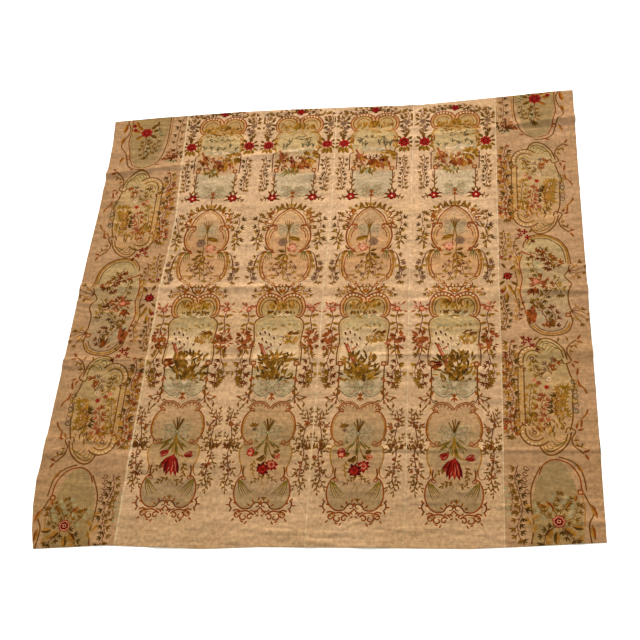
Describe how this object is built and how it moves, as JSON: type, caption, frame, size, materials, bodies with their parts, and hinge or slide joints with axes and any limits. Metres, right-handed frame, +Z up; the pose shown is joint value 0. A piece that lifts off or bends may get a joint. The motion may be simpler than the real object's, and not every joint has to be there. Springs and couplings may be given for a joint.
{
  "type": "needlepoint tapestry",
  "caption": "Large floral needlepoint panel of embroidered strips sewn side by side, lying flat and face up with soft fold lines.",
  "frame": {"origin": "middle of the bounding box's underside, on the surface that the panel lies on", "axes": "+X across the strips to the right border, +Y along the strips to the upper end, +Z up out of the embroidered face"},
  "size_m": [2.464, 2.5867, 0.0216],
  "materials": {
    "strip_needlepoint": "matte",
    "border_needlepoint": "matte"
  },
  "bodies": {
    "root": {"left_border": "border_needlepoint", "first_strip": "strip_needlepoint", "second_strip": "strip_needlepoint", "third_strip": "strip_needlepoint", "fourth_strip": "strip_needlepoint", "right_border": "border_needlepoint"}
  },
  "joints": []
}
